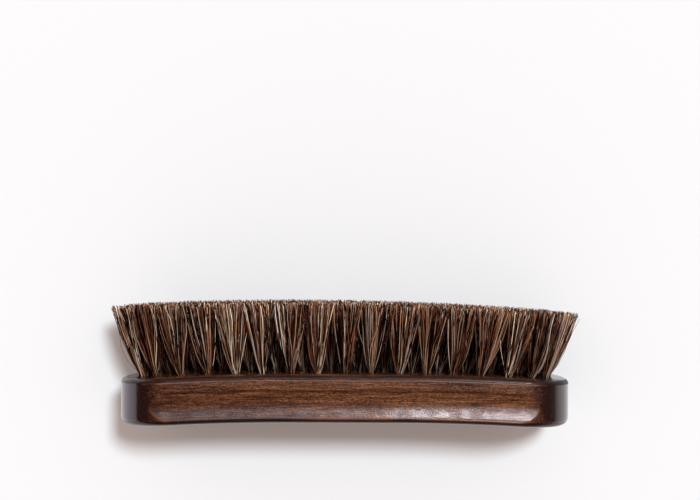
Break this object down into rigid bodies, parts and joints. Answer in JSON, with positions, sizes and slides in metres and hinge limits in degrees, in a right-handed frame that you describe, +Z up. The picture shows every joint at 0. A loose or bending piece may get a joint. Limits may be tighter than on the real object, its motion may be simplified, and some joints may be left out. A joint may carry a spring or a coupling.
{
  "type": "horsehair bristle brush",
  "caption": "Horsehair clothes and shoe brush with a bowed, lacquered hardwood block, finger grooves and rows of mixed brown hair tufts.",
  "frame": {"origin": "bottom centre of the bounding box, on the surface that the brush lies on", "axes": "+X along the brush's length, +Y from its wooden back to the hair tips, +Z up, from the long side that it lies on to the other"},
  "size_m": [0.167, 0.0434, 0.0508],
  "materials": {
    "lacquered_wood": "gloss",
    "horsehair": "matte",
    "anchor_wire": "satin"
  },
  "bodies": {
    "root": {"handle_block": "lacquered_wood", "bristle_end_left": "horsehair", "bristle_row_01": "horsehair", "bristle_row_02": "horsehair", "bristle_row_03": "horsehair", "bristle_row_04": "horsehair", "bristle_row_05": "horsehair", "bristle_row_06": "horsehair", "bristle_row_07": "horsehair", "bristle_row_08": "horsehair", "bristle_row_09": "horsehair", "bristle_row_10": "horsehair", "bristle_row_11": "horsehair", "bristle_row_12": "horsehair", "bristle_row_13": "horsehair", "bristle_row_14": "horsehair", "bristle_row_15": "horsehair", "bristle_row_16": "horsehair", "bristle_row_17": "horsehair", "bristle_row_18": "horsehair", "bristle_row_19": "horsehair", "bristle_row_20": "horsehair", "bristle_row_21": "horsehair", "bristle_row_22": "horsehair", "bristle_row_23": "horsehair", "bristle_row_24": "horsehair", "bristle_row_25": "horsehair", "bristle_end_right": "horsehair"}
  },
  "joints": []
}
